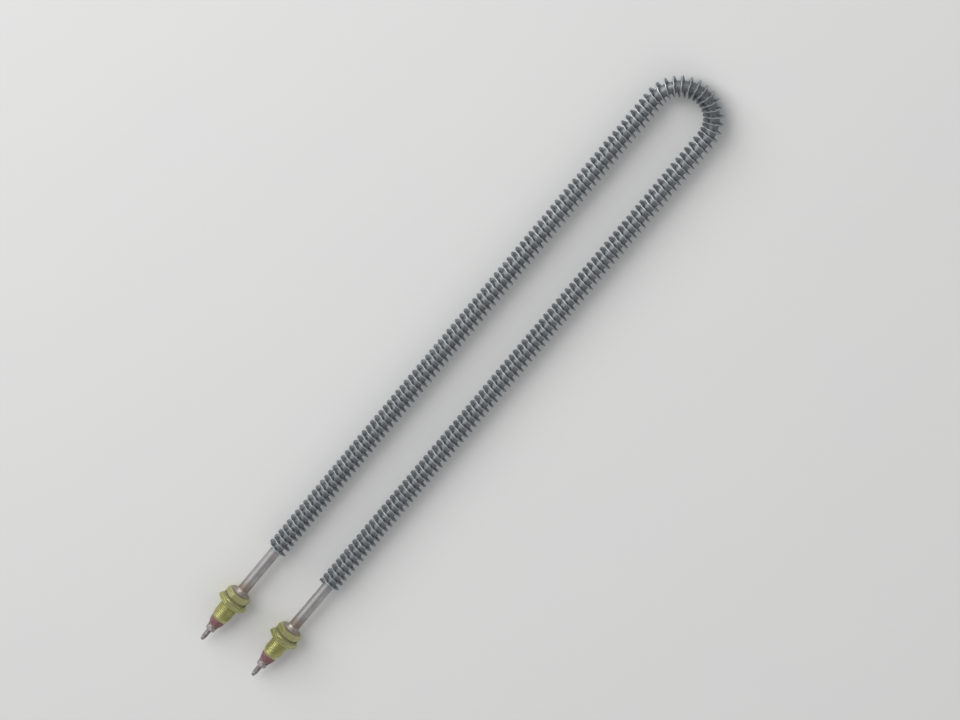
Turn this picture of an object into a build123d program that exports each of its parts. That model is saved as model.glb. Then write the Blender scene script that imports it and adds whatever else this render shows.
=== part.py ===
from build123d import *
import math
import os

# A finned tubular heating element bent into a U, lying flat, in millimetres with +Z up.
# The legs run along Y, with the bend at +Y and the terminals at -Y.
# The origin is under the middle of the whole element, at the height it lies on.
# A reach is a distance along a leg, from the line through the bend's centre to the terminals.

# Tube
tube_diameter = 8.5
tube_wall = 0.8
bend_radius = 23.75

# Fin strip, one length of steel wound on its edge round the tube
fin_height = 3.75
fin_root = 1.2
fin_pitch = 5.0
fin_reach = 440.0
fin_clearance = 0.02
rim_sides = 12
root_sides = 8

# Screw fitting, brazed on the tube
plain_length = 41.0
neck_length = 3.5
neck_diameter = 12.5
collar_flats = 17.5
collar_length = 5.5
collar_bevel = 0.8
barrel_diameter = 14.0
barrel_thread_pitch = 1.5
barrel_length = 21.0
nose_length = 4.5
nose_diameter = 12.0

# What clamps a panel on the fitting
gasket_diameter = 19.5
gasket_thickness = 1.2
washer_diameter = 20.0
washer_bore = 14.4
washer_thickness = 1.0
nut_flats = 21.0
nut_thickness = 4.0
nut_bevel = 1.0

# End of the tube
tube_overhang = 1.0
seal_length = 6.5
seal_tip_diameter = 8.6
bush_depth = 7.0
bush_neck_diameter = 6.4
bush_overhang = 1.0

# Terminal
pin_diameter = 2.6
stud_diameter = 4.0
stud_thread_pitch = 0.7
stud_length = 10.0
stud_point_length = 3.4
stud_point_diameter = 2.2
terminal_washer_diameter = 8.0
terminal_washer_bore = 4.3
terminal_washer_thickness = 0.8
terminal_nut_flats = 7.0
terminal_nut_thickness = 3.2
terminal_nut_bevel = 0.3
terminal_nut_turn = 30.0

# Heating wire, coiled and packed in powder inside the tube
coil_diameter = 3.4
coil_setback = 4.0
coil_grip = 10.0

tube_radius = tube_diameter / 2
tube_bore = tube_diameter - 2 * tube_wall
fin_radius = tube_radius + fin_height

# A screwed pair meets at its pitch line, which lies this share of the thread pitch inside
flank_share = 0.6495
barrel_pitch_diameter = barrel_diameter - flank_share * barrel_thread_pitch
stud_pitch_diameter = stud_diameter - flank_share * stud_thread_pitch

# Where each piece starts along a leg
coil_reach = fin_reach - coil_setback
neck_reach = fin_reach + plain_length
collar_reach = neck_reach + neck_length
barrel_reach = collar_reach + collar_length
washer_reach = barrel_reach + gasket_thickness
nut_reach = washer_reach + washer_thickness
seal_reach = barrel_reach + barrel_length
tube_reach = seal_reach + tube_overhang
bush_reach = tube_reach - bush_depth
terminal_washer_reach = seal_reach + seal_length + bush_overhang
terminal_nut_reach = terminal_washer_reach + terminal_washer_thickness
tip_reach = terminal_nut_reach + terminal_nut_thickness + stud_length

# Where the element lies: its lock nuts stand on one flat each, and its length is centred
bend_y = (tip_reach - bend_radius - fin_radius) / 2
axis_z = nut_flats / 2


def leg_plane(side, reach):
    # Z runs along the leg to its terminal, X across the U and Y upwards
    origin = (side * bend_radius, bend_y - reach, axis_z)
    return Plane(origin=origin, x_dir=(1, 0, 0), z_dir=(0, -1, 0))


def turned(side, reach, points):
    # A body turned about the leg from its half section, given as (distance from reach, diameter)
    outline = Polyline(*[(diameter / 2, along) for along, diameter in points], close=True)
    half = make_face(Plane.XZ * outline)
    return leg_plane(side, reach) * revolve(half, Axis.Z)


def rod(side, reach, diameter, length):
    return extrude(leg_plane(side, reach) * Circle(diameter / 2), length)


def ring(side, reach, outside, bore, thickness):
    return rod(side, reach, outside, thickness) - rod(side, reach, bore, thickness)


def hexagon(side, reach, flats, bore, thickness, bevel, turn=0.0):
    # A hexagon with a flat underneath unless it is turned, its corners bevelled at both faces
    outline = RegularPolygon(flats / 2, 6, major_radius=False, rotation=turn) - Circle(bore / 2)
    block = extrude(leg_plane(side, reach) * outline, thickness)
    corners = flats / math.cos(math.pi / 6)
    rise = bevel * math.tan(math.pi / 6)
    envelope = [(0, 0), (0, corners - 2 * bevel), (rise, corners)]
    envelope += [(thickness - rise, corners), (thickness, corners - 2 * bevel), (thickness, 0)]
    return block & turned(side, reach, envelope)


def u_path(reach):
    ends = [leg_plane(side, reach).origin for side in (-1, 1)]
    tops = [leg_plane(side, 0).origin for side in (-1, 1)]
    apex = (0, bend_y + bend_radius, axis_z)
    arc = Edge.make_three_point_arc(tops[0], apex, tops[1])
    return Wire([Edge.make_line(ends[0], tops[0]), arc, Edge.make_line(tops[1], ends[1])])


def u_bar(reach, diameter, bore=0.0):
    section = Circle(diameter / 2)
    if bore:
        section -= Circle(bore / 2)
    return sweep(leg_plane(-1, reach) * section, u_path(reach))


def make_sheath_tube():
    return u_bar(tube_reach, tube_diameter, tube_bore)


def fin_point(along, turn, radius):
    # A point beside the tube's centre line, along from the strip's start on the left leg
    bend_length = math.pi * bend_radius
    swing = min(max((along - fin_reach) / bend_radius, 0), math.pi)
    past = along - fin_reach - bend_length
    straight = min(along - fin_reach, 0) - max(past, 0)
    outward = Vector(-math.cos(swing), math.sin(swing), 0)
    centre = Vector(0, bend_y + straight, axis_z) + outward * bend_radius
    return centre + (outward * math.cos(turn) + Vector(0, 0, math.sin(turn))) * radius


def fin_edge(sides, radius, offset):
    # One edge of the strip as a left-hand helix of straight chords that follows the U
    length = 2 * fin_reach + math.pi * bend_radius
    turns = round(length / fin_pitch)
    points = []
    for step in range(turns * sides + 1):
        share = step / (turns * sides)
        turn = 2 * math.pi * turns * (0.5 - share)
        points.append(fin_point(share * length + offset, turn, radius))
    return points


def fin_face(one, other):
    # Facets between two edges of the strip, taken in step along both
    facets = []
    i = 0
    j = 0
    while i < len(one) - 1 or j < len(other) - 1:
        if (i + 1) * (len(other) - 1) <= (j + 1) * (len(one) - 1):
            facets.append((one[i], one[i + 1], other[j]))
            i += 1
        else:
            facets.append((one[i], other[j + 1], other[j]))
            j += 1
    return facets


def make_fin_strip():
    # The root's chords touch the tube at their middles, and the section narrows to the rim
    root_radius = (tube_radius + fin_clearance) / math.cos(math.pi / root_sides)
    rim = fin_edge(rim_sides, fin_radius, 0)
    low = fin_edge(root_sides, root_radius, -fin_root / 2)
    high = fin_edge(root_sides, root_radius, fin_root / 2)
    facets = fin_face(rim, low) + fin_face(rim, high) + fin_face(low, high)
    facets += [(rim[0], low[0], high[0]), (rim[-1], low[-1], high[-1])]
    faces = [Face(Wire.make_polygon(corners, close=True)) for corners in facets]
    return Solid(Shell(faces))


def make_resistance_coil():
    coil = u_bar(coil_reach, coil_diameter)
    for side in (-1, 1):
        coil -= rod(side, coil_reach - coil_grip, pin_diameter, coil_grip)
    return coil


def make_magnesia_filling():
    filling = u_bar(bush_reach, tube_bore) - u_bar(coil_reach, coil_diameter)
    for side in (-1, 1):
        filling -= rod(side, coil_reach, pin_diameter, bush_reach - coil_reach)
    return filling


def make_screw_fitting(side):
    # Brazed neck, fixed hexagon and threaded barrel in one turned piece, bored for the tube
    nut_start = nut_reach - neck_reach
    nut_end = nut_start + nut_thickness
    nose_end = seal_reach - neck_reach
    nose_start = nose_end - nose_length
    body = [(0, 0), (0, tube_diameter), (neck_length, neck_diameter)]
    body += [(neck_length, barrel_diameter), (nut_start, barrel_diameter)]
    body += [(nut_start, barrel_pitch_diameter), (nut_end, barrel_pitch_diameter)]
    body += [(nut_end, barrel_diameter), (nose_start, barrel_diameter)]
    body += [(nose_end, nose_diameter), (nose_end, 0)]
    collar = hexagon(side, collar_reach, collar_flats, tube_diameter, collar_length, collar_bevel)
    bore = rod(side, neck_reach, tube_diameter, seal_reach - neck_reach)
    return turned(side, neck_reach, body) + collar - bore


def make_end_seal(side):
    outline = [(0, 0), (0, nose_diameter), (seal_length, seal_tip_diameter), (seal_length, 0)]
    seal = turned(side, seal_reach, outline)
    seal -= rod(side, seal_reach, tube_diameter, tube_overhang)
    return seal - rod(side, tube_reach, bush_neck_diameter, seal_length)


def make_insulating_bush(side):
    neck_end = terminal_washer_reach - bush_reach
    outline = [(0, stud_diameter), (0, tube_bore), (bush_depth, tube_bore)]
    outline += [(bush_depth, bush_neck_diameter), (neck_end, bush_neck_diameter)]
    outline += [(neck_end, stud_diameter)]
    return turned(side, bush_reach, outline)


def make_terminal_pin(side):
    rod_start = coil_reach - coil_grip
    stud_start = bush_reach - rod_start
    nut_start = terminal_nut_reach - rod_start
    nut_end = nut_start + terminal_nut_thickness
    tip = tip_reach - rod_start
    outline = [(0, 0), (0, pin_diameter), (stud_start, pin_diameter)]
    outline += [(stud_start, stud_diameter), (nut_start, stud_diameter)]
    outline += [(nut_start, stud_pitch_diameter), (nut_end, stud_pitch_diameter)]
    outline += [(nut_end, stud_diameter), (tip - stud_point_length, stud_diameter)]
    outline += [(tip, stud_point_diameter), (tip, 0)]
    return turned(side, rod_start, outline)


parts = {
    "sheath_tube": make_sheath_tube(),
    "fin_strip": make_fin_strip(),
    "resistance_coil": make_resistance_coil(),
    "magnesia_filling": make_magnesia_filling(),
}

for name, side in (("left", -1), ("right", 1)):
    parts[name + "_screw_fitting"] = make_screw_fitting(side)
    parts[name + "_gasket"] = ring(
        side, barrel_reach, gasket_diameter, barrel_diameter, gasket_thickness)
    parts[name + "_washer"] = ring(
        side, washer_reach, washer_diameter, washer_bore, washer_thickness)
    parts[name + "_lock_nut"] = hexagon(
        side, nut_reach, nut_flats, barrel_pitch_diameter, nut_thickness, nut_bevel)
    parts[name + "_end_seal"] = make_end_seal(side)
    parts[name + "_insulating_bush"] = make_insulating_bush(side)
    parts[name + "_terminal_pin"] = make_terminal_pin(side)
    parts[name + "_terminal_washer"] = ring(
        side, terminal_washer_reach, terminal_washer_diameter, terminal_washer_bore,
        terminal_washer_thickness)
    parts[name + "_terminal_nut"] = hexagon(
        side, terminal_nut_reach, terminal_nut_flats, stud_pitch_diameter,
        terminal_nut_thickness, terminal_nut_bevel, terminal_nut_turn)

os.makedirs("parts", exist_ok=True)
for name, shape in parts.items():
    export_step(shape, "parts/" + name + ".step")
    print(name, round(shape.volume, 1))
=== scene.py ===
import bpy
import bmesh
import math
from mathutils import Matrix, Vector, noise


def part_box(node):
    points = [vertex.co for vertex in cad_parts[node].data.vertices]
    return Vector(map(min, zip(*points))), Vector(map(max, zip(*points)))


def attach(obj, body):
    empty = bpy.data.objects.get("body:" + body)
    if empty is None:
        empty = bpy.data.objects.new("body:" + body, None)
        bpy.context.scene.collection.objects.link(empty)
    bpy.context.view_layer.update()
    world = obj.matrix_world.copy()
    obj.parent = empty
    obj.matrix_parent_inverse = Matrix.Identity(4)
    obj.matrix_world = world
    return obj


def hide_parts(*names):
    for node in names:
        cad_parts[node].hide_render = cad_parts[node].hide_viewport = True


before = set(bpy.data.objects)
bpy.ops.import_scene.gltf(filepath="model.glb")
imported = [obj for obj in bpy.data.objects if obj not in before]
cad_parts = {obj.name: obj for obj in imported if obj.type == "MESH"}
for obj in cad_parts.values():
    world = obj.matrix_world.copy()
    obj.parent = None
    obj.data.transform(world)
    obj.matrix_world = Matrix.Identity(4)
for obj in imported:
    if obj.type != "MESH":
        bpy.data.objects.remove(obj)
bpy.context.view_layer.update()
mm = 0.001
print("packed frame loaded,", len(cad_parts), "nodes")

# Where the U lies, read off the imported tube
tubeLow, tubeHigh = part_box("sheath_tube")
tubeRadius = (tubeHigh.z - tubeLow.z) / 2
axisHeight = (tubeHigh.z + tubeLow.z) / 2
bendRadius = tubeHigh.x - tubeRadius
bendY = tubeHigh.y - tubeRadius - bendRadius
finRadius = (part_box("fin_strip")[1].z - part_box("fin_strip")[0].z) / 2
legs = {"left": -1, "right": 1}


def reachSpan(node):
    # First and last distance of a node along its leg, from the line through the bend's centre
    low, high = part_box(node)
    return bendY - high.y, bendY - low.y


def legMatrix(side, reach):
    # Local z runs along the leg to its terminal, x across the U and y upwards
    turn = Matrix(((1, 0, 0, 0), (0, 0, -1, 0), (0, 1, 0, 0), (0, 0, 0, 1)))
    return Matrix.Translation((side * bendRadius, bendY - reach, axisHeight)) @ turn


class NodeBook:
    # Adds nodes to a tree and feeds their sockets with values or other sockets
    def __init__(self, tree):
        self.tree = tree

    def add(self, kind, feeds=None, **settings):
        node = self.tree.nodes.new(kind)
        for key, value in settings.items():
            setattr(node, key, value)
        for key, value in (feeds or {}).items():
            self.feed(node.inputs[key], value)
        return node

    def feed(self, socket, value):
        if isinstance(value, bpy.types.NodeSocket):
            self.tree.links.new(value, socket)
        else:
            socket.default_value = value

    def math(self, operation, *values, clamp=False):
        node = self.add("ShaderNodeMath", dict(enumerate(values)), operation=operation)
        node.use_clamp = clamp
        return node.outputs[0]

    def blend(self, share, one, other):
        node = self.add("ShaderNodeMix", data_type="RGBA")
        for socket, value in ((0, share), (6, one), (7, other)):
            self.feed(node.inputs[socket], value)
        return node.outputs[2]

    def cloud(self, coords, scale, detail, rough):
        return self.add("ShaderNodeTexNoise", {
            "Vector": coords, "Scale": scale, "Detail": detail, "Roughness": rough}).outputs[0]

    def ramp(self, value, low, high, top=1.0):
        return self.add("ShaderNodeMapRange", {
            "Value": value, "From Min": low, "From Max": high, "To Max": top}).outputs[0]


# Finishes
def tone(red, green, blue):
    return (red, green, blue, 1.0)


def newMaterial(name):
    material = bpy.data.materials.new(name)
    material.use_nodes = True
    return material, NodeBook(material.node_tree), material.node_tree.nodes["Principled BSDF"]


# What all metals share: how their clouds, specks and marks are drawn, and how ragged stains and
# painted shade are
metalPattern = {
    "cloudDetail": 4.0, "cloudRough": 0.62, "cloudFrom": 0.38, "cloudTo": 0.66,
    "speckDetail": 3.0, "speckRough": 0.7, "speckTo": 0.78, "markDetail": 2.0,
    "markRough": 0.55, "stainAndShadeRagged": 1.2, "bumpHeight": 0.1 * mm,
}


def metalFinish(name, look):
    # Clean and dull clouds, dark specks, fine marks, then worn edges, and stains and painted
    # shade where it has them
    p = metalPattern
    material, book, shader = newMaterial(name)
    coords = book.add("ShaderNodeTexCoord").outputs[look.get("coords", "Object")]
    cloud = book.cloud(coords, look["cloudScale"], p["cloudDetail"], p["cloudRough"])
    speck = book.cloud(coords, look["speckScale"], p["speckDetail"], p["speckRough"])
    stretch = book.add("ShaderNodeMapping", {"Vector": coords, "Scale": look["markStretch"]})
    marks = book.cloud(stretch.outputs[0], 1.0, p["markDetail"], p["markRough"])
    cloudShare = book.ramp(cloud, p["cloudFrom"], p["cloudTo"])
    speckShare = book.ramp(speck, look["speckFrom"], p["speckTo"])
    colour = book.blend(cloudShare, look["clean"], look["dull"])
    colour = book.blend(speckShare, colour, look["dark"])
    rough = book.math("MULTIPLY_ADD", cloudShare, look["roughSpread"], look["rough"])
    rough = book.math("MULTIPLY_ADD", marks, look["markRough"], rough)
    if "wearTone" in look:
        worn = book.add("ShaderNodeAttribute", attribute_name="wear").outputs["Fac"]
        wornShare = book.math("MULTIPLY", worn, look["wearShare"], clamp=True)
        colour = book.blend(wornShare, colour, look["wearTone"])
        rough = book.math("MULTIPLY_ADD", wornShare, look.get("wearRough", 0.0), rough)
    # Real stains on the tube and fittings, and painted shade at the fins' roots, darken the
    # colour here
    if "stainAndShadeTone" in look:
        stainAndShade = book.add("ShaderNodeAttribute", attribute_name="stainAndShade").outputs["Fac"]
        ragged = book.math("MULTIPLY_ADD", cloud, p["stainAndShadeRagged"], -p["stainAndShadeRagged"] / 2)
        stainAndShadeShare = book.math("ADD", stainAndShade, book.math("MULTIPLY", ragged, stainAndShade), clamp=True)
        colour = book.blend(stainAndShadeShare, colour, look["stainAndShadeTone"])
        rough = book.math("MULTIPLY_ADD", stainAndShadeShare, look["stainAndShadeRough"], rough)
    heights = book.math("MULTIPLY", marks, look["markHeight"])
    heights = book.math("MULTIPLY_ADD", speck, look["speckHeight"], heights)
    bump = book.add("ShaderNodeBump", {
        "Height": heights, "Distance": p["bumpHeight"], "Strength": 1.0})
    book.feed(shader.inputs["Base Color"], colour)
    book.feed(shader.inputs["Roughness"], rough)
    book.feed(shader.inputs["Normal"], bump.outputs[0])
    shader.inputs["Metallic"].default_value = look["metallic"]
    return material


aroundLeg = (120.0, 5200.0, 120.0)  # turning marks run round a leg, so they are close along Y
evenGrain = (900.0, 900.0, 900.0)  # rolled or pressed metal has marks alike in all directions

finishes = {
    "finSteel": metalFinish("finSteel", {
        "clean": tone(0.59, 0.62, 0.64), "dull": tone(0.37, 0.405, 0.435),
        "dark": tone(0.19, 0.21, 0.23), "cloudScale": 150.0, "speckScale": 1500.0,
        "speckFrom": 0.54, "markStretch": evenGrain, "rough": 0.46,
        "roughSpread": 0.16, "markRough": 0.08, "markHeight": 0.25, "speckHeight": 0.5,
        "metallic": 0.92, "wearTone": tone(0.62, 0.65, 0.67), "wearShare": 0.6,
        # This dark tone is painted shade at the roots, where the fins crowd
        "stainAndShadeTone": tone(0.16, 0.17, 0.18), "stainAndShadeRough": 0.12}),
    "sheathSteel": metalFinish("sheathSteel", {
        "clean": tone(0.47, 0.46, 0.46), "dull": tone(0.35, 0.34, 0.34),
        "dark": tone(0.17, 0.16, 0.16), "coords": "UV", "cloudScale": 9.0,
        "speckScale": 260.0, "speckFrom": 0.6, "markStretch": (240.0, 1.5, 1.0),
        "rough": 0.30, "roughSpread": 0.14, "markRough": 0.14, "markHeight": 0.35,
        "speckHeight": 0.3, "metallic": 0.95, "stainAndShadeTone": tone(0.30, 0.24, 0.20),
        "stainAndShadeRough": 0.14, "wearTone": tone(0.22, 0.24, 0.255), "wearShare": 0.9,
        "wearRough": 0.18}),
    "fittingBrass": metalFinish("fittingBrass", {
        "clean": tone(0.56, 0.55, 0.27), "dull": tone(0.41, 0.41, 0.19),
        "dark": tone(0.22, 0.20, 0.07), "cloudScale": 190.0, "speckScale": 1900.0,
        "speckFrom": 0.6, "markStretch": aroundLeg, "rough": 0.30, "roughSpread": 0.16,
        "markRough": 0.10, "markHeight": 0.35, "speckHeight": 0.25, "metallic": 0.95,
        "wearTone": tone(0.78, 0.74, 0.36), "wearShare": 0.7,
        "stainAndShadeTone": tone(0.37, 0.33, 0.31), "stainAndShadeRough": 0.16}),
    "nutBrass": metalFinish("nutBrass", {
        "clean": tone(0.52, 0.52, 0.25), "dull": tone(0.37, 0.38, 0.17),
        "dark": tone(0.20, 0.19, 0.07), "cloudScale": 150.0, "speckScale": 1700.0,
        "speckFrom": 0.6, "markStretch": aroundLeg, "rough": 0.30, "roughSpread": 0.18,
        "markRough": 0.08, "markHeight": 0.3, "speckHeight": 0.25, "metallic": 0.95,
        "wearTone": tone(0.76, 0.72, 0.36), "wearShare": 0.7}),
    "washerBrass": metalFinish("washerBrass", {
        "clean": tone(0.50, 0.49, 0.24), "dull": tone(0.38, 0.38, 0.18),
        "dark": tone(0.20, 0.18, 0.07), "cloudScale": 210.0, "speckScale": 1700.0,
        "speckFrom": 0.58, "markStretch": evenGrain, "rough": 0.34,
        "roughSpread": 0.16, "markRough": 0.06, "markHeight": 0.2, "speckHeight": 0.3,
        "metallic": 0.95, "wearTone": tone(0.74, 0.70, 0.36), "wearShare": 0.6}),
    "pinSteel": metalFinish("pinSteel", {
        "clean": tone(0.42, 0.38, 0.38), "dull": tone(0.32, 0.29, 0.29),
        "dark": tone(0.17, 0.16, 0.16), "cloudScale": 260.0, "speckScale": 2200.0,
        "speckFrom": 0.6, "markStretch": aroundLeg, "rough": 0.30, "roughSpread": 0.14,
        "markRough": 0.08, "markHeight": 0.2, "speckHeight": 0.2, "metallic": 0.96,
        "wearTone": tone(0.66, 0.64, 0.62), "wearShare": 0.6}),
    "terminalSteel": metalFinish("terminalSteel", {
        "clean": tone(0.42, 0.39, 0.38), "dull": tone(0.32, 0.30, 0.29),
        "dark": tone(0.19, 0.18, 0.18), "cloudScale": 260.0, "speckScale": 2200.0,
        "speckFrom": 0.6, "markStretch": aroundLeg, "rough": 0.26, "roughSpread": 0.14,
        "markRough": 0.08, "markHeight": 0.2, "speckHeight": 0.2, "metallic": 0.96,
        "wearTone": tone(0.58, 0.55, 0.53), "wearShare": 0.6}),
    "coilAlloy": metalFinish("coilAlloy", {
        "clean": tone(0.36, 0.33, 0.31), "dull": tone(0.26, 0.23, 0.22),
        "dark": tone(0.12, 0.10, 0.10), "cloudScale": 220.0, "speckScale": 1500.0,
        "speckFrom": 0.58, "markStretch": evenGrain, "rough": 0.44,
        "roughSpread": 0.16, "markRough": 0.06, "markHeight": 0.3, "speckHeight": 0.4,
        "metallic": 0.9}),
}


# What all matte finishes share
mattePattern = {
    "cloudDetail": 3.0, "cloudRough": 0.6, "cloudFrom": 0.36, "cloudTo": 0.66,
    "grainDetail": 4.0, "grainRough": 0.7, "fleckEdge": 0.30, "fleckMiddle": 0.12,
    "glowDepth": 1.0 * mm,
}


def matteFinish(name, look):
    # Rubber, fibre, ceramic and powder: a mottled body colour with flecks and a grain
    p = mattePattern
    material, book, shader = newMaterial(name)
    coords = book.add("ShaderNodeTexCoord").outputs["Object"]
    cloud = book.cloud(coords, look["cloudScale"], p["cloudDetail"], p["cloudRough"])
    grain = book.cloud(coords, look["grainScale"], p["grainDetail"], p["grainRough"])
    fleck = book.add("ShaderNodeTexVoronoi", {
        "Vector": coords, "Scale": look["fleckScale"]}, feature="F1").outputs["Distance"]
    cloudShare = book.ramp(cloud, p["cloudFrom"], p["cloudTo"])
    fleckShare = book.ramp(fleck, p["fleckEdge"], p["fleckMiddle"], look["fleckShare"])
    colour = book.blend(cloudShare, look["body"], look["shade"])
    colour = book.blend(fleckShare, colour, look["fleck"])
    rough = book.math("MULTIPLY_ADD", grain, look["roughSpread"], look["rough"])
    bump = book.add("ShaderNodeBump", {
        "Height": grain, "Distance": look["grainHeight"], "Strength": 1.0})
    book.feed(shader.inputs["Base Color"], colour)
    book.feed(shader.inputs["Roughness"], rough)
    book.feed(shader.inputs["Normal"], bump.outputs[0])
    shader.inputs["Specular IOR Level"].default_value = look["specular"]
    shader.inputs["Subsurface Weight"].default_value = look.get("subsurface", 0.0)
    shader.inputs["Subsurface Scale"].default_value = p["glowDepth"]
    return material


finishes.update({
    "sealSilicone": matteFinish("sealSilicone", {
        "body": tone(0.24, 0.115, 0.115), "shade": tone(0.16, 0.075, 0.080),
        "fleck": tone(0.28, 0.13, 0.12), "fleckShare": 0.4, "cloudScale": 330.0,
        "grainScale": 1400.0, "fleckScale": 1300.0, "rough": 0.34, "roughSpread": 0.25,
        "grainHeight": 0.08 * mm, "specular": 0.5, "subsurface": 0.08}),
    "gasketFibre": matteFinish("gasketFibre", {
        "body": tone(0.27, 0.25, 0.14), "shade": tone(0.19, 0.18, 0.10),
        "fleck": tone(0.36, 0.33, 0.21), "fleckShare": 0.6, "cloudScale": 260.0,
        "grainScale": 2100.0, "fleckScale": 1700.0, "rough": 0.66, "roughSpread": 0.25,
        "grainHeight": 0.12 * mm, "specular": 0.3}),
    "bushCeramic": matteFinish("bushCeramic", {
        "body": tone(0.62, 0.55, 0.52), "shade": tone(0.50, 0.43, 0.41),
        "fleck": tone(0.36, 0.30, 0.28), "fleckShare": 0.5, "cloudScale": 300.0,
        "grainScale": 1900.0, "fleckScale": 1500.0, "rough": 0.42, "roughSpread": 0.25,
        "grainHeight": 0.06 * mm, "specular": 0.5}),
    "fillingOxide": matteFinish("fillingOxide", {
        "body": tone(0.74, 0.72, 0.68), "shade": tone(0.63, 0.61, 0.57),
        "fleck": tone(0.50, 0.48, 0.45), "fleckShare": 0.5, "cloudScale": 240.0,
        "grainScale": 2600.0, "fleckScale": 2100.0, "rough": 0.8, "roughSpread": 0.15,
        "grainHeight": 0.15 * mm, "specular": 0.2}),
})
print("finishes made,", len(finishes))


def settle(piece, slot, *nodes):
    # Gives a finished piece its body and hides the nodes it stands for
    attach(piece, "root")
    if nodes:
        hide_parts(*nodes)
    return piece


def plainMesh(piece):
    # Turns an object with modifiers into a plain mesh
    graph = bpy.context.evaluated_depsgraph_get()
    made = bpy.data.meshes.new_from_object(piece.evaluated_get(graph))
    piece.modifiers.clear()
    old = piece.data
    piece.data = made
    bpy.data.meshes.remove(old)
    made.name = piece.name
    return piece


def outwardFaces(mesh):
    # Turns the faces of a closed mesh outwards
    work = bmesh.new()
    work.from_mesh(mesh)
    bmesh.ops.recalc_face_normals(work, faces=work.faces)
    work.to_mesh(mesh)
    work.free()


def namedInputs(tree, inputs):
    # Makes a node tree's input sockets from (name, socket type, value)
    for name, kind, value in inputs:
        socket = tree.interface.new_socket(name=name, in_out="INPUT", socket_type=kind)
        if value is not None:
            socket.default_value = value
    tree.interface.new_socket(name="Geometry", in_out="OUTPUT", socket_type="NodeSocketGeometry")


def runTree(piece, tree, values):
    # Sets a modifier's inputs by their identifiers, then makes its result the mesh
    modifier = piece.modifiers.new(tree.name, "NODES")
    modifier.node_group = tree
    for item in tree.interface.items_tree:
        if item.in_out == "INPUT" and item.name in values:
            modifier[item.identifier] = values[item.name]
    return plainMesh(piece)


sharpAngle = math.radians(50)  # edges that turn more than this stay crisp

# The fin strip: one crimped steel strip wound on its edge round the tube, all along the U
finSizes = {
    "turns": 191, "stepsPerTurn": 63, "facePoints": 4, "reach": 440.0 * mm,
    "thickness": 0.55 * mm, "rimThinning": 0.15, "rimGap": 0.03 * mm, "crimpsPerTurn": 9,
    "crimpDepth": 0.9 * mm, "rimCrimp": 0.12, "crimpSpread": 0.5, "spreadRate": 5.3,
    "crimpDrift": 14.0, "driftRate": 0.31, "wander": 0.6 * mm, "wanderRate": 0.83,
    # Then a worn rim, and painted shade that darkens the root and fades towards the rim
    "rootWander": 0.25, "rimFrom": 0.99, "rimWear": 0.35, "rootShade": 0.7,
    "stainAndShadeFade": 1.5, "seed": 7,
}


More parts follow.
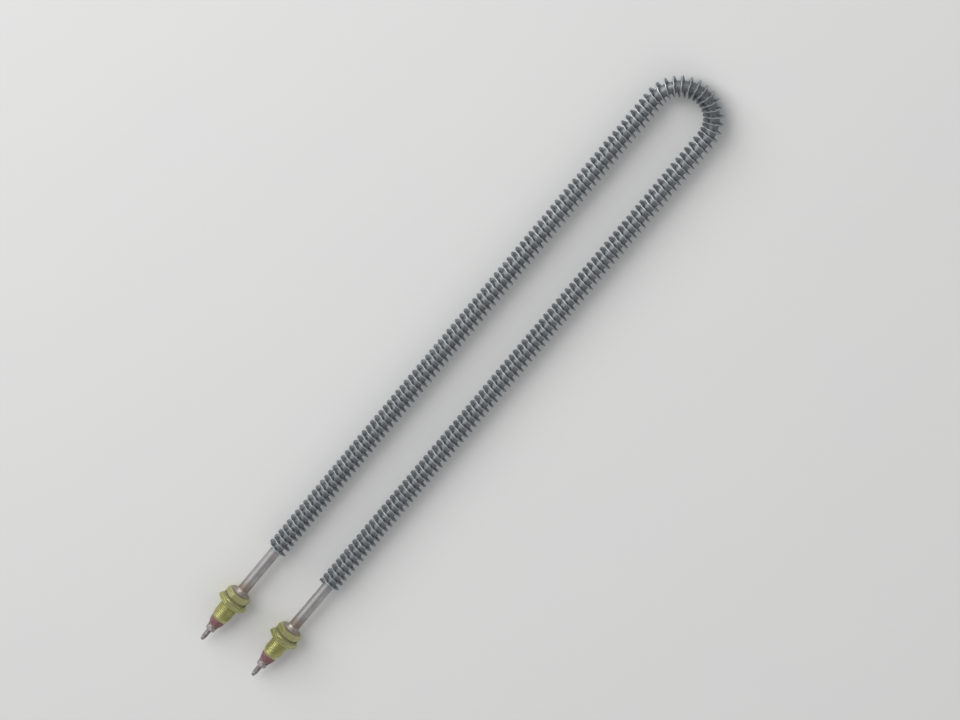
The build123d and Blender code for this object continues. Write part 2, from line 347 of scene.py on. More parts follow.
def makeFinTree():
    s = finSizes
    tree = bpy.data.node_groups.new("woundFinStrip", "GeometryNodeTree")
    namedInputs(tree, [
        ("Geometry", "NodeSocketGeometry", None), ("Turns", "NodeSocketInt", 10),
        ("Steps per Turn", "NodeSocketInt", 24), ("Straight Length", "NodeSocketFloat", 0.1),
        ("Bend Radius", "NodeSocketFloat", 0.02), ("Bend Centre Y", "NodeSocketFloat", 0.0),
        ("Axis Height", "NodeSocketFloat", 0.01), ("Root Radius", "NodeSocketFloat", 0.004),
        ("Rim Radius", "NodeSocketFloat", 0.008), ("Thickness", "NodeSocketFloat", 0.0004),
        ("Rim Thinning", "NodeSocketFloat", 0.3), ("Crimps per Turn", "NodeSocketInt", 13),
        ("Crimp Depth", "NodeSocketFloat", 0.001), ("Rim Crimp", "NodeSocketFloat", 0.3),
        ("Crimp Spread", "NodeSocketFloat", 0.0), ("Crimp Drift", "NodeSocketFloat", 0.0),
        ("Wander", "NodeSocketFloat", 0.0), ("Seed", "NodeSocketInt", 0),
        ("Finish", "NodeSocketMaterial", None)])
    book = NodeBook(tree)
    given = book.add("NodeGroupInput").outputs
    do = book.math
    count = do("ADD", do("MULTIPLY", given["Turns"], given["Steps per Turn"]), 1)
    index = book.add("GeometryNodeInputIndex").outputs[0]
    line = book.add("GeometryNodeCurvePrimitiveLine", {"End": (1.0, 0.0, 0.0)})
    rail = book.add("GeometryNodeResampleCurve", {"Curve": line.outputs[0], "Count": count})
    rail = book.add("GeometryNodeStoreNamedAttribute", {
        "Geometry": rail.outputs[0], "Name": "stripShare",
        "Value": do("DIVIDE", index, do("SUBTRACT", count, 1))}, domain="POINT")
    # The section's points go up one face from root to rim, and down the other
    section = book.add("GeometryNodeMeshCircle", {"Vertices": 2 * s["facePoints"]})
    faceSteps = s["facePoints"] - 1
    farFace = do("GREATER_THAN", index, faceSteps + 0.5)
    up = do("DIVIDE", index, faceSteps)
    down = do("SUBTRACT", (2 * faceSteps + 1) / faceSteps, up)
    radialNow = do("ADD", do("MULTIPLY", up, do("SUBTRACT", 1.0, farFace)),
                   do("MULTIPLY", down, farFace))
    faceSign = do("MULTIPLY_ADD", farFace, 2.0, -1.0)
    for name, value in (("finRadial", radialNow), ("finFace", faceSign)):
        section = book.add("GeometryNodeStoreNamedAttribute", {
            "Geometry": section.outputs[0], "Name": name, "Value": value}, domain="POINT")
    ring = book.add("GeometryNodeMeshToCurve", {"Mesh": section.outputs[0]})
    swept = book.add("GeometryNodeCurveToMesh", {
        "Curve": rail.outputs[0], "Profile Curve": ring.outputs[0], "Fill Caps": True})

    def stored(name):
        return book.add("GeometryNodeInputNamedAttribute", {"Name": name}).outputs["Attribute"]

    share, radial, face = stored("stripShare"), stored("finRadial"), stored("finFace")
    # Wound left-handed, so the turn falls as the strip runs from the left leg to the right
    turn = do("MULTIPLY", do("MULTIPLY", do("SUBTRACT", 0.5, share), given["Turns"]), 2 * math.pi)
    turnCount = do("MULTIPLY", share, given["Turns"])

    def uneven(perTurn, swing):
        # A random change along the strip: how fast it goes in a turn, and how far it swings
        place = do("MULTIPLY_ADD", turnCount, perTurn, given["Seed"])
        cloud = book.add("ShaderNodeTexNoise", {
            "W": place, "Scale": 1.0, "Detail": 2.0}, noise_dimensions="1D").outputs[0]
        return do("MULTIPLY", do("SUBTRACT", cloud, 0.5), swing)

    # The crimps take up the root's spare length, so they die away towards the rim
    shift = uneven(s["driftRate"], given["Crimp Drift"])
    wave = do("SINE", do("MULTIPLY_ADD", turn, given["Crimps per Turn"], shift))
    spread = do("ADD", 1.0, uneven(s["spreadRate"], given["Crimp Spread"]))
    wave = do("MULTIPLY", wave, spread)
    lost = do("SUBTRACT", 1.0, do("MULTIPLY", given["Rim Crimp"], given["Rim Crimp"]))
    fade = do("SQRT", do("SUBTRACT", 1.0, do("MULTIPLY", radial, lost)))
    crimp = do("MULTIPLY", do("MULTIPLY", wave, fade), given["Crimp Depth"])
    drift = uneven(s["wanderRate"], given["Wander"])
    rimShare = do("MULTIPLY_ADD", radial, 1.0 - s["rootWander"], s["rootWander"])
    drift = do("MULTIPLY", drift, rimShare)
    thin = do("SUBTRACT", 1.0, do("MULTIPLY", radial, given["Rim Thinning"]))
    half = do("MULTIPLY", do("MULTIPLY", face, do("MULTIPLY", given["Thickness"], 0.5)), thin)
    offset = do("ADD", do("ADD", crimp, half), drift)
    # Where the strip runs along the U: left leg, bend, right leg
    arc = do("MULTIPLY", given["Bend Radius"], math.pi)
    length = do("ADD", do("MULTIPLY", given["Straight Length"], 2.0), arc)
    past = do("SUBTRACT", do("ADD", do("MULTIPLY", share, length), offset),
              given["Straight Length"])
    swing = do("MINIMUM", do("MAXIMUM", do("DIVIDE", past, given["Bend Radius"]), 0.0), math.pi)
    straight = do("SUBTRACT", do("MINIMUM", past, 0.0),
                  do("MAXIMUM", do("SUBTRACT", past, arc), 0.0))
    height = do("SUBTRACT", given["Rim Radius"], given["Root Radius"])
    radius = do("MULTIPLY_ADD", radial, height, given["Root Radius"])
    fromCentre = do("ADD", given["Bend Radius"], do("MULTIPLY", radius, do("COSINE", turn)))
    spot = book.add("ShaderNodeCombineXYZ", {
        0: do("MULTIPLY", do("MULTIPLY", do("COSINE", swing), -1.0), fromCentre),
        1: do("ADD", do("ADD", given["Bend Centre Y"], straight),
              do("MULTIPLY", do("SINE", swing), fromCentre)),
        2: do("ADD", given["Axis Height"], do("MULTIPLY", radius, do("SINE", turn)))})
    placed = book.add("GeometryNodeSetPosition", {
        "Geometry": swept.outputs[0], "Position": spot.outputs[0]})
    # The material reads the worn rim, and painted shade that darkens the root, where shade falls
    # between the fins
    rim = do("GREATER_THAN", radial, s["rimFrom"])
    root = do("SUBTRACT", 1.0, do("MULTIPLY", radial, s["stainAndShadeFade"]), clamp=True)
    marks = (("wear", do("MULTIPLY", rim, s["rimWear"])),
             ("stainAndShade", do("MULTIPLY", root, s["rootShade"])))
    for name, value in marks:
        placed = book.add("GeometryNodeStoreNamedAttribute", {
            "Geometry": placed.outputs[0], "Name": name, "Value": value}, domain="POINT")
    real = book.add("GeometryNodeRealizeInstances", {"Geometry": placed.outputs[0]})
    painted = book.add("GeometryNodeSetMaterial", {
        "Geometry": real.outputs[0], "Material": given["Finish"]})
    book.add("NodeGroupOutput", {"Geometry": painted.outputs[0]})
    return tree


def makeFinStrip():
    piece = bpy.data.objects.new("finStrip", bpy.data.meshes.new("finStrip"))
    bpy.context.scene.collection.objects.link(piece)
    runTree(piece, makeFinTree(), {
        "Turns": finSizes["turns"], "Steps per Turn": finSizes["stepsPerTurn"],
        "Straight Length": finSizes["reach"], "Bend Radius": bendRadius,
        "Bend Centre Y": bendY, "Axis Height": axisHeight, "Root Radius": tubeRadius,
        "Rim Radius": finRadius - finSizes["rimGap"], "Thickness": finSizes["thickness"],
        "Rim Thinning": finSizes["rimThinning"], "Crimps per Turn": finSizes["crimpsPerTurn"],
        "Crimp Depth": finSizes["crimpDepth"], "Rim Crimp": finSizes["rimCrimp"],
        "Crimp Spread": finSizes["crimpSpread"], "Crimp Drift": finSizes["crimpDrift"],
        "Wander": finSizes["wander"], "Seed": finSizes["seed"], "Finish": finishes["finSteel"]})
    outwardFaces(piece.data)
    piece.data.shade_smooth()
    piece.data.set_sharp_from_angle(angle=sharpAngle)
    for name in ("stripShare", "finRadial", "finFace"):
        piece.data.attributes.remove(piece.data.attributes[name])
    return settle(piece, "fin_steel", "fin_strip")


finStrip = makeFinStrip()
print("fin strip wound,", len(finStrip.data.polygons), "faces")

# The sheath tube, with a wall, following the U
tubeSizes = {"wall": 0.8 * mm, "sides": 48, "step": 3.0 * mm, "bendSteps": 72,
             "dullReach": 443.0 * mm, "dullFade": 6.0 * mm, "stainReach": 466.0 * mm,
             "stainAndShadeFade": 12.0 * mm, "uvPerMetre": 10}


def tubeStations():
    # (centre, outward direction) of every ring of the tube, from the left end to the right
    reach = reachSpan("sheath_tube")[1]
    count = round(reach / tubeSizes["step"])
    stations = []
    for leg, sign in ((0, -1), (1, 1)):
        for i in range(count + 1):
            along = reach * (i if leg == 0 else count - i) / count
            y = bendY - reach + along
            stations.append((Vector((sign * bendRadius, y, axisHeight)), Vector((sign, 0, 0))))
        if leg == 0:
            for i in range(1, tubeSizes["bendSteps"]):
                swing = math.pi * i / tubeSizes["bendSteps"]
                out = Vector((-math.cos(swing), math.sin(swing), 0))
                stations.append((Vector((0, bendY, axisHeight)) + out * bendRadius, out))
    return stations


def makeSheathTube():
    stations = tubeStations()
    sides = tubeSizes["sides"]
    work = bmesh.new()
    uvLayer = work.loops.layers.uv.new("UVMap")
    stainAndShade = work.verts.layers.float.new("stainAndShade")
    dull = work.verts.layers.float.new("wear")
    walls = []
    lengths = [0.0]
    for one, other in zip(stations, stations[1:]):
        lengths.append(lengths[-1] + (other[0] - one[0]).length)
    for radius in (tubeRadius, tubeRadius - tubeSizes["wall"]):
        rings = []
        for centre, out in stations:
            ring = []
            for side in range(sides):
                angle = 2 * math.pi * side / sides
                spoke = out * math.cos(angle) + Vector((0, 0, math.sin(angle)))
                point = work.verts.new(centre + spoke * radius)
                reach = bendY - centre.y
                stained = (reach - tubeSizes["stainReach"]) / tubeSizes["stainAndShadeFade"]
                point[stainAndShade] = min(max(stained, 0.0), 1.0) ** 2
                dulled = (tubeSizes["dullReach"] - reach) / tubeSizes["dullFade"]
                point[dull] = min(max(dulled, 0.0), 1.0)
                ring.append(point)
            rings.append(ring)
        walls.append(rings)

    def quad(corners, uvs):
        made = work.faces.new(corners)
        made.smooth = True
        for loop, uv in zip(made.loops, uvs):
            loop[uvLayer].uv = uv

    uvScale = tubeSizes["uvPerMetre"]
    girth = 2 * math.pi * tubeRadius * uvScale
    for rings in walls:
        for i in range(len(rings) - 1):
            low, high = lengths[i] * uvScale, lengths[i + 1] * uvScale
            for side in range(sides):
                after = (side + 1) % sides
                one, other = girth * side / sides, girth * (side + 1) / sides
                quad((rings[i][side], rings[i][after], rings[i + 1][after], rings[i + 1][side]),
                     ((one, low), (other, low), (other, high), (one, high)))
    for end, length in ((0, 0.0), (-1, lengths[-1] * uvScale)):
        for side in range(sides):
            after = (side + 1) % sides
            one, other = girth * side / sides, girth * (side + 1) / sides
            quad((walls[0][end][side], walls[0][end][after],
                  walls[1][end][after], walls[1][end][side]),
                 ((one, length), (other, length), (other, length), (one, length)))
    bmesh.ops.recalc_face_normals(work, faces=work.faces)
    mesh = bpy.data.meshes.new("sheathTube")
    work.to_mesh(mesh)
    work.free()
    mesh.set_sharp_from_angle(angle=sharpAngle)
    mesh.materials.append(finishes["sheathSteel"])
    piece = bpy.data.objects.new("sheathTube", mesh)
    bpy.context.scene.collection.objects.link(piece)
    return settle(piece, "sheath_steel", "sheath_tube")


makeSheathTube()
print("sheath tube made")


cornerShare = 0.4  # a rounded corner takes at most this share of each side
flankShare = 0.4  # how much further out than its round its support points stand


def softened(corners, closed=True, steps=4):
    # Rounds a half section's corners of (radius, along, soft, stain), with wear where they turn
    points = []
    count = len(corners)
    for i, (radius, along, soft, stainAndShade) in enumerate(corners):
        here = Vector((radius, along))
        ends = not closed and i in (0, count - 1)
        if ends or soft <= 0:
            points.append((radius, along, 0.0, stainAndShade))
            continue
        before = Vector(corners[i - 1][:2]) - here
        after = Vector(corners[(i + 1) % count][:2]) - here
        reach = min(soft, before.length * cornerShare, after.length * cornerShare)
        start = here + before.normalized() * reach
        end = here + after.normalized() * reach
        outer = start + before.normalized() * reach * flankShare
        points.append((outer.x, outer.y, 0.0, stainAndShade))
        for step in range(steps + 1):
            t = step / steps
            spot = start * (1 - t) ** 2 + here * 2 * t * (1 - t) + end * t * t
            points.append((spot.x, spot.y, 4 * t * (1 - t), stainAndShade))
        outer = end + after.normalized() * reach * flankShare
        points.append((outer.x, outer.y, 0.0, stainAndShade))
    return points


def inMetres(points):
    # Section points of (radius, along, wear, stain), given in millimetres
    return [(radius * mm, along * mm, worn, stained) for radius, along, worn, stained in points]


def turnedMesh(name, sectionAt, angles, finish, closed=True):
    # Skins half sections placed round local z. An open section starts and ends on the axis
    sections = [sectionAt(angle) for angle in angles]
    work = bmesh.new()
    wear = work.verts.layers.float.new("wear")
    stainAndShade = work.verts.layers.float.new("stainAndShade")

    def vertex(angle, point):
        radius, along, worn, stained = point
        made = work.verts.new((radius * math.cos(angle), radius * math.sin(angle), along))
        made[wear] = worn
        made[stainAndShade] = stained
        return made

    rows = [[vertex(angle, point) for point in (section if closed else section[1:-1])]
            for angle, section in zip(angles, sections)]
    for i, row in enumerate(rows):
        following = rows[(i + 1) % len(rows)]
        for j in range(len(row) if closed else len(row) - 1):
            k = (j + 1) % len(row)
            work.faces.new((row[j], row[k], following[k], following[j]))
    if not closed:
        for place in (0, -1):
            pole = vertex(0.0, sections[0][place])
            for i, row in enumerate(rows):
                work.faces.new((row[place], rows[(i + 1) % len(rows)][place], pole))
    for face in work.faces:
        face.smooth = True
    bmesh.ops.recalc_face_normals(work, faces=work.faces)
    mesh = bpy.data.meshes.new(name)
    work.to_mesh(mesh)
    work.free()
    mesh.materials.append(finish)
    piece = bpy.data.objects.new(name, mesh)
    bpy.context.scene.collection.objects.link(piece)
    return piece


def evenAngles(sides):
    return [2 * math.pi * side / sides for side in range(sides)]


# Degrees round one side of a hexagon, close together at its rounded corners
cornerOffsets = (0, 0.6, 1.2, 1.8, 6, 14, 22, 30, 38, 46, 54, 58.2, 58.8, 59.4)
hexagonAngles = [math.radians(60 * corner + offset)
                 for corner in range(6) for offset in cornerOffsets]
bevelSlope = math.tan(math.radians(30))  # of the bevels at a hexagon's corners


def hexagonRadius(angle, flats, soft):
    # Outline of a hexagon with corners at 0, 60, 120 ... degrees, each corner rounded
    off = abs((math.degrees(angle) + 30) % 60 - 30)
    flat = flats / 2 / math.cos(math.radians(30 - off))
    centre = flats / 2 / math.cos(math.radians(30)) - soft / math.sin(math.radians(60))
    across = centre * math.sin(math.radians(off))
    if across >= soft / 2:
        return flat
    return min(flat, centre * math.cos(math.radians(off)) + math.sqrt(soft ** 2 - across ** 2))


def toLeg(piece, side, reach):
    # Moves a piece turned about local z to its place on a leg
    piece.data.transform(legMatrix(side, reach))
    piece.data.update()


# Form of a screw thread, as shares of half its pitch, and how its crests are worn
threadForm = {"crest": 0.14, "flank": 0.66, "crestFade": 3.0, "crestWear": 0.6,
              "axisGuard": 0.001 * mm}


def makeThreadTree():
    # Cuts a screw thread into what stands proud of it
    s = threadForm
    tree = bpy.data.node_groups.new("screwThread", "GeometryNodeTree")
    namedInputs(tree, [
        ("Geometry", "NodeSocketGeometry", None), ("Start", "NodeSocketFloat", 0.0),
        ("End", "NodeSocketFloat", 0.01), ("Pitch", "NodeSocketFloat", 0.001),
        ("Depth", "NodeSocketFloat", 0.0005), ("Major Radius", "NodeSocketFloat", 0.002),
        ("Least Radius", "NodeSocketFloat", 0.001), ("Finish", "NodeSocketMaterial", None)])
    book = NodeBook(tree)
    given = book.add("NodeGroupInput").outputs
    do = book.math
    spot = book.add("GeometryNodeInputPosition").outputs[0]
    x, y, z = book.add("ShaderNodeSeparateXYZ", {0: spot}).outputs
    radius = do("SQRT", do("ADD", do("MULTIPLY", x, x), do("MULTIPLY", y, y)))
    angle = do("DIVIDE", do("ARCTAN2", y, x), 2 * math.pi)
    phase = do("FRACT", do("SUBTRACT", do("DIVIDE", z, given["Pitch"]), angle))
    ridge = do("ABSOLUTE", do("MULTIPLY_ADD", phase, 2.0, -1.0))
    groove = do("DIVIDE", do("SUBTRACT", ridge, s["crest"]), s["flank"], clamp=True)
    runIn = do("DIVIDE", do("SUBTRACT", z, given["Start"]), given["Pitch"], clamp=True)
    runOut = do("DIVIDE", do("SUBTRACT", given["End"], z), given["Pitch"], clamp=True)
    depth = do("MULTIPLY", do("MULTIPLY", groove, given["Depth"]), do("MULTIPLY", runIn, runOut))
    cut = do("SUBTRACT", given["Major Radius"], depth)
    wanted = do("MINIMUM", radius, cut)
    scale = do("DIVIDE", wanted, do("MAXIMUM", radius, s["axisGuard"]))
    moved = book.add("ShaderNodeCombineXYZ", {
        0: do("MULTIPLY", x, scale), 1: do("MULTIPLY", y, scale), 2: z})
    inside = do("MULTIPLY", do("GREATER_THAN", z, given["Start"]),
                do("LESS_THAN", z, given["End"]))
    chosen = do("MULTIPLY", inside, do("GREATER_THAN", radius, given["Least Radius"]))
    fade = do("MULTIPLY", groove, s["crestFade"])
    crest = do("MULTIPLY", do("SUBTRACT", 1.0, fade, clamp=True), s["crestWear"])
    marked = book.add("GeometryNodeStoreNamedAttribute", {
        "Geometry": given["Geometry"], "Selection": chosen, "Name": "wear",
        "Value": crest}, domain="POINT")
    placed = book.add("GeometryNodeSetPosition", {
        "Geometry": marked.outputs[0], "Selection": chosen, "Position": moved.outputs[0]})
    real = book.add("GeometryNodeRealizeInstances", {"Geometry": placed.outputs[0]})
    painted = book.add("GeometryNodeSetMaterial", {
        "Geometry": real.outputs[0], "Material": given["Finish"]})
    book.add("NodeGroupOutput", {"Geometry": painted.outputs[0]})
    return tree


threadTree = makeThreadTree()

# The screw fitting: braze at its neck, fixed hexagon, threaded barrel and bevelled nose
fittingSizes = {
    "neck": 3.5, "neckDiameter": 12.5, "collarFlats": 17.5, "collar": 5.5,
    "faceDiameter": 16.6, "barrelDiameter": 14.0, "barrelStart": 9.0, "threadStart": 9.6,
    "threadMargin": 0.3, "threadFloor": 5.5, "noseStart": 25.5, "noseDiameter": 12.0,
    "noseRings": 30, "length": 30.0, "pitch": 1.5, "depth": 0.92, "fineFrom": 13.5,
    "ringsPerPitch": 10, "edge": 0.22, "cornerEdge": 0.35, "neckEdge": 0.3, "noseEdge": 0.2,
    "gap": 0.05, "ripple": 0.16, "rippleWaves": 2.1, "rippleSeed": 3.0,
}

# The braze, from the tube to the neck: (outwards, along, soft, ripple outwards, ripple along)
brazePoints = ((0.0, -0.35, 0.0, 0.0, 1.0), (0.16, 0.1, 0.2, 0.0, 1.0),
               (0.48, 1.2, 0.5, 0.5, 0.0), (1.05, 2.35, 0.6, 1.0, 0.0))


def fittingSection(angle):
    s = fittingSizes
    outline = hexagonRadius(angle, s["collarFlats"], s["cornerEdge"])
    face = s["faceDiameter"] / 2
    rise = (outline - face) * bevelSlope
    start, end = s["neck"], s["neck"] + s["collar"]
    bore = tubeRadius / mm
    waves = s["rippleWaves"]
    spot = (waves * math.cos(angle), waves * math.sin(angle), s["rippleSeed"])
    ripple = noise.noise(spot) * s["ripple"]
    corners = [(bore + out + ripple * outShare, along + ripple * alongShare, soft, 1.0)
               for out, along, soft, outShare, alongShare in brazePoints]
    corners += [
        (s["neckDiameter"] / 2 + ripple, start - s["gap"], s["neckEdge"], 1.0),
        (face - s["neckEdge"], start, 0.0, 0.35), (face, start, s["edge"], 0.2),
        (outline, start + rise, s["edge"], 0.1), (outline, end - rise, s["edge"], 0.0),
        (face, end, s["edge"], 0.0), (s["barrelDiameter"] / 2, s["barrelStart"], 0.0, 0.0)]
    points = softened(corners)
    barrel, nose = s["barrelDiameter"] / 2, s["noseDiameter"] / 2
    along = s["fineFrom"]
    while along < s["noseStart"] - s["gap"]:
        points.append((barrel, along, 0.0, 0.0))
        along += s["pitch"] / s["ringsPerPitch"]
    for step in range(s["noseRings"]):
        share = step / s["noseRings"]
        points.append((barrel + (nose - barrel) * share,
                       s["noseStart"] + (s["length"] - s["noseStart"]) * share, 0.0, 0.0))
    tail = [(nose + s["gap"], s["length"] - s["threadMargin"], 0.0, 0.0),
            (nose, s["length"], s["noseEdge"], 0.0), (bore, s["length"], 0.0, 0.0)]
    points += softened(tail, closed=False)
    return inMetres(points)


def makeScrewFittings():
    s = fittingSizes
    for name, side in legs.items():
        node = name + "_screw_fitting"
        piece = turnedMesh(name + "ScrewFitting", fittingSection, hexagonAngles,
                           finishes["fittingBrass"])
        runTree(piece, threadTree, {
            "Start": s["threadStart"] * mm, "End": (s["length"] - s["threadMargin"]) * mm,
            "Pitch": s["pitch"] * mm, "Depth": s["depth"] * mm,
            "Major Radius": s["barrelDiameter"] / 2 * mm,
            "Least Radius": s["threadFloor"] * mm, "Finish": finishes["fittingBrass"]})
        toLeg(piece, side, reachSpan(node)[0])
        settle(piece, "fitting_brass", node)


makeScrewFittings()
print("screw fittings made")


# Nuts: a hexagon bevelled at both faces, its bore countersunk
nutSizes = {
    "lock_nut": {
        "flats": 21.0, "turn": 0.0, "face": 19.8, "bore": 12.7, "sink": 0.9,
        "edge": 0.25, "cornerEdge": 0.45, "finish": "nutBrass", "slot": "nut_brass",
        "piece": "LockNut"},
    "terminal_nut": {
        "flats": 7.0, "turn": 30.0, "face": 6.6, "bore": 3.35, "sink": 0.4,
        "edge": 0.12, "cornerEdge": 0.16, "finish": "terminalSteel",
        "slot": "terminal_steel", "piece": "TerminalNut"},
}


def nutSection(s, thick):
    def section(angle):
        outline = hexagonRadius(angle - math.radians(s["turn"]), s["flats"], s["cornerEdge"])
        face = s["face"] / 2
        rise = (outline - face) * bevelSlope
        bore, sink = s["bore"] / 2, s["sink"]
        corners = [
            (bore + sink, 0, s["edge"], 0), (face, 0, s["edge"], 0),
            (outline, rise, s["edge"], 0), (outline, thick - rise, s["edge"], 0),
            (face, thick, s["edge"], 0), (bore + sink, thick, s["edge"], 0),
            (bore, thick - sink, s["edge"], 0), (bore, sink, s["edge"], 0)]
        return inMetres(softened(corners))
    return section


# Rings: gasket, washer and terminal washer, with their edges broken
ringSides = 72
ringSizes = {
    "gasket": {"outside": 19.5, "bore": 14.0, "edge": 0.3, "bulge": 0.12,
               "finish": "gasketFibre", "slot": "gasket_fibre", "piece": "Gasket"},
    "washer": {"outside": 20.0, "bore": 14.4, "edge": 0.22, "bulge": 0.0,
               "finish": "washerBrass", "slot": "washer_brass", "piece": "Washer"},
    "terminal_washer": {"outside": 8.0, "bore": 4.3, "edge": 0.16, "bulge": 0.0,
                        "finish": "terminalSteel", "slot": "terminal_steel",
                        "piece": "TerminalWasher"},
}


def ringSection(s, thick):
    def section(angle):
        inside, outside = s["bore"] / 2, s["outside"] / 2
        corners = [
            (inside, 0, s["edge"] / 2, 0), (outside - s["bulge"], 0, s["edge"], 0),
            (outside, thick / 2, s["edge"] if s["bulge"] else 0, 0),
            (outside - s["bulge"], thick, s["edge"], 0), (inside, thick, s["edge"] / 2, 0)]
        return inMetres(softened(corners))
    return section


def makeRingsAndNuts():
    for name, side in legs.items():
        for kind, s in list(nutSizes.items()) + list(ringSizes.items()):
            node = name + "_" + kind
            first, last = reachSpan(node)
            thick = (last - first) / mm
            if "flats" in s:
                section = nutSection(s, thick)
                angles = [angle + math.radians(s["turn"]) for angle in hexagonAngles]
            else:
                section = ringSection(s, thick)
                angles = evenAngles(ringSides)
            piece = turnedMesh(name + s["piece"], section, angles, finishes[s["finish"]])
            toLeg(piece, side, first)
            settle(piece, s["slot"], node)


makeRingsAndNuts()
print("gaskets, washers and nuts made")

# End seal: silicone poured round the bush, a little uneven, its face sunk round the bush
sealSizes = {
    "length": 6.5, "rootDiameter": 12.0, "tipDiameter": 8.6, "bore": 6.4, "tubeBore": 8.5,
    "overhang": 1.0, "swell": 0.28, "widest": 6.05, "roundFrom": 0.86, "rounding": 0.9,
    "roundPower": 1.2, "uneven": 0.16, "waves": 1.3, "wavesAlong": 2.4, "waveFrom": 0.05,
    "waveReach": 1.15, "seed": 3.0, "lipWidth": 0.25, "lipDrop": 0.02, "sinkWidth": 0.2,
    "sink": 0.14, "boreDrop": 0.1, "steps": 14, "sides": 64,
}


def sealSection(seed):
    s = sealSizes
    root, tip, bore = s["rootDiameter"] / 2, s["tipDiameter"] / 2, s["bore"] / 2

    def section(angle):
        points = [(s["tubeBore"] / 2, 0.0)]
        for step in range(s["steps"] + 1):
            share = step / s["steps"]
            radius = root + (tip - root) * share + s["swell"] * math.sin(math.pi * share)
            radius -= s["rounding"] * max(share - s["roundFrom"], 0) ** s["roundPower"]
            wave = noise.noise((s["waves"] * math.cos(angle) + seed,
                                s["waves"] * math.sin(angle), s["wavesAlong"] * share))
            swing = math.sin(math.pi * min(share * s["waveReach"] + s["waveFrom"], 1.0))
            radius += s["uneven"] * wave * swing
            points.append((min(radius, s["widest"]), s["length"] * share))
        lip, end = points[-1][0], s["length"]
        points += [(lip - s["lipWidth"], end - s["lipDrop"]),
                   (bore + s["sinkWidth"], end - s["sink"]), (bore, end - s["boreDrop"]),
                   (bore, s["overhang"]), (s["tubeBore"] / 2, s["overhang"])]
        return inMetres([(radius, along, 0.0, 0.0) for radius, along in points])
    return section


# Insulating bush: a ceramic sleeve with a shoulder inside the tube
bushSizes = {"bore": 4.0, "body": 6.9, "depth": 7.0, "neck": 6.4, "length": 13.5,
             "edge": 0.25, "boreEdge": 0.1, "sides": 48}


def bushSection(angle):
    s = bushSizes
    corners = [
        (s["bore"] / 2, 0, 0, 0), (s["body"] / 2, 0, s["edge"], 0),
        (s["body"] / 2, s["depth"], s["edge"] / 2, 0), (s["neck"] / 2, s["depth"], 0, 0),
        (s["neck"] / 2, s["length"], s["edge"], 0),
        (s["bore"] / 2, s["length"], s["boreEdge"], 0)]
    return inMetres(softened(corners))


# Terminal pin: a rod inside the tube that ends in a threaded stud
pinSizes = {
    "rod": 2.6, "stud": 4.0, "studStart": 79.0, "pointLength": 3.4, "point": 2.2,
    "pitch": 0.7, "depth": 0.43, "threadStart": 92.1, "threadMargin": 1.0,
    "threadFloor": 1.2, "fineFrom": 92.0, "ringsPerPitch": 8, "pointRings": 36,
    "edge": 0.2, "gap": 0.02, "tipDrop": 0.05, "sides": 36,
}


def pinSection(length):
    s = pinSizes
    rod, stud, point = s["rod"] / 2, s["stud"] / 2, s["point"] / 2

    def section(angle):
        points = softened([(0, 0, 0, 0), (rod, 0, s["edge"], 0), (rod, s["studStart"], 0, 0),
                           (stud, s["studStart"], 0, 0)], closed=False)
        pointStart = length - s["pointLength"]
        along = s["fineFrom"]
        while along < pointStart - s["gap"]:
            points.append((stud, along, 0.0, 0.0))
            along += s["pitch"] / s["ringsPerPitch"]
        for step in range(s["pointRings"]):
            share = step / s["pointRings"]
            points.append((stud + (point - stud) * share,
                           pointStart + s["pointLength"] * share, 0.0, 0.0))
        points += softened([(point + s["gap"], length - s["tipDrop"], 0, 0),
                            (point, length, s["edge"], 0), (0, length, 0, 0)], closed=False)
        return inMetres(points)
    return section


def makeEnds():
    for name, side in legs.items():
        seal = turnedMesh(name + "EndSeal", sealSection(sealSizes["seed"] + side),
                          evenAngles(sealSizes["sides"]), finishes["sealSilicone"])
        toLeg(seal, side, reachSpan(name + "_end_seal")[0])
        settle(seal, "seal_silicone", name + "_end_seal")
        bush = turnedMesh(name + "InsulatingBush", bushSection, evenAngles(bushSizes["sides"]),
                          finishes["bushCeramic"])
        toLeg(bush, side, reachSpan(name + "_insulating_bush")[0])
        settle(bush, "bush_ceramic", name + "_insulating_bush")
        first, last = reachSpan(name + "_terminal_pin")
        pin = turnedMesh(name + "TerminalPin", pinSection((last - first) / mm),
                         evenAngles(pinSizes["sides"]), finishes["pinSteel"], closed=False)
        runTree(pin, threadTree, {
            "Start": pinSizes["threadStart"] * mm,
            "End": last - first - pinSizes["threadMargin"] * mm,
            "Pitch": pinSizes["pitch"] * mm, "Depth": pinSizes["depth"] * mm,
            "Major Radius": pinSizes["stud"] / 2 * mm,
            "Least Radius": pinSizes["threadFloor"] * mm, "Finish": finishes["pinSteel"]})
        toLeg(pin, side, first)
        settle(pin, "pin_steel", name + "_terminal_pin")


makeEnds()
print("seals, bushes and pins made")

# The wire and the powder inside the tube keep their CAD shapes
for node, finish, slot in (("resistance_coil", "coilAlloy", "coil_alloy"),
                           ("magnesia_filling", "fillingOxide", "filling_oxide")):
    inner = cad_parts[node]
    inner.data.materials.clear()
    inner.data.materials.append(finishes[finish])

# Studio: pale paper floor, large soft lamp on the left, a weaker one on the right
studio = {
    "floorSize": 14.0, "floorTone": tone(0.80, 0.80, 0.79), "floorRough": 0.85,
    "floorGloss": 0.2, "fibreScale": 9.0, "fibreDetail": 2.0, "fibreShade": 0.985,
    "worldStrength": 0.40, "keyPower": 76.0, "keyPlace": (-2.33, 0.50, 1.73),
    "keySize": 2.5, "fillPower": 2.0, "fillPlace": (1.4, -0.3, 0.9), "fillSize": 1.2,
}


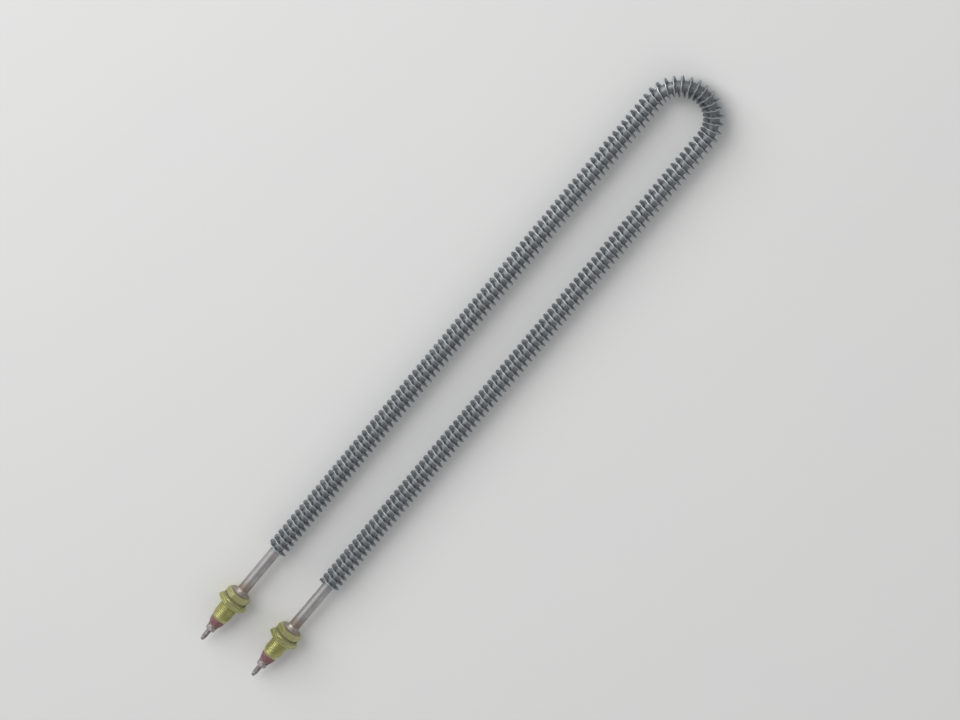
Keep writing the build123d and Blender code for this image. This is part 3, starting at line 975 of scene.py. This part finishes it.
def makeStudio():
    mesh = bpy.data.meshes.new("floor")
    half = studio["floorSize"] / 2
    mesh.from_pydata([(-half, -half, 0), (half, -half, 0), (half, half, 0), (-half, half, 0)],
                     [], [(0, 1, 2, 3)])
    material, book, shader = newMaterial("floorPaper")
    coords = book.add("ShaderNodeTexCoord").outputs["Object"]
    fibre = book.add("ShaderNodeTexNoise", {
        "Vector": coords, "Scale": studio["fibreScale"], "Detail": studio["fibreDetail"]})
    red, green, blue, solid = studio["floorTone"]
    shade = studio["fibreShade"]
    colour = book.blend(fibre.outputs[0], (red, green, blue, solid),
                        (red * shade, green * shade, blue, solid))
    book.feed(shader.inputs["Base Color"], colour)
    shader.inputs["Roughness"].default_value = studio["floorRough"]
    shader.inputs["Specular IOR Level"].default_value = studio["floorGloss"]
    mesh.materials.append(material)
    floor = bpy.data.objects.new("floor", mesh)
    bpy.context.scene.collection.objects.link(floor)
    for name in ("key", "fill"):
        lamp = bpy.data.lights.new(name + "Lamp", "AREA")
        lamp.energy = studio[name + "Power"]
        lamp.size = studio[name + "Size"]
        holder = bpy.data.objects.new(name + "Lamp", lamp)
        holder.location = studio[name + "Place"]
        aim = Vector((0, 0, 0)) - holder.location
        holder.rotation_euler = aim.to_track_quat("-Z", "Y").to_euler()
        bpy.context.scene.collection.objects.link(holder)
    world = bpy.data.worlds.new("studio")
    world.use_nodes = True
    background = world.node_tree.nodes["Background"]
    background.inputs["Color"].default_value = tone(1.0, 1.0, 1.0)
    background.inputs["Strength"].default_value = studio["worldStrength"]
    bpy.context.scene.world = world


# Camera: looks down on the U, leaning a little towards the bend, the legs on the diagonal
cameraSizes = {"lens": 135.0, "distance": 2.608, "lean": 20.0, "turn": 51.63,
               "target": (0.0015, 0.0201, 0.0105), "clipEnd": 50.0}


def makeCamera():
    turn, lean = math.radians(cameraSizes["turn"]), math.radians(cameraSizes["lean"])
    right = Vector((math.sin(turn), math.cos(turn), 0))
    level = Vector((-math.cos(turn), math.sin(turn), 0))
    back = level * math.sin(lean) + Vector((0, 0, math.cos(lean)))
    up = back.cross(right)
    data = bpy.data.cameras.new("camera")
    data.lens = cameraSizes["lens"]
    data.clip_end = cameraSizes["clipEnd"]
    camera = bpy.data.objects.new("camera", data)
    place = Vector(cameraSizes["target"]) + back * cameraSizes["distance"]
    camera.matrix_world = Matrix((
        (right.x, up.x, back.x, place.x), (right.y, up.y, back.y, place.y),
        (right.z, up.z, back.z, place.z), (0, 0, 0, 1)))
    bpy.context.scene.collection.objects.link(camera)
    bpy.context.scene.camera = camera


makeStudio()
makeCamera()
bpy.context.scene.view_settings.view_transform = "Standard"
print("studio and camera set")
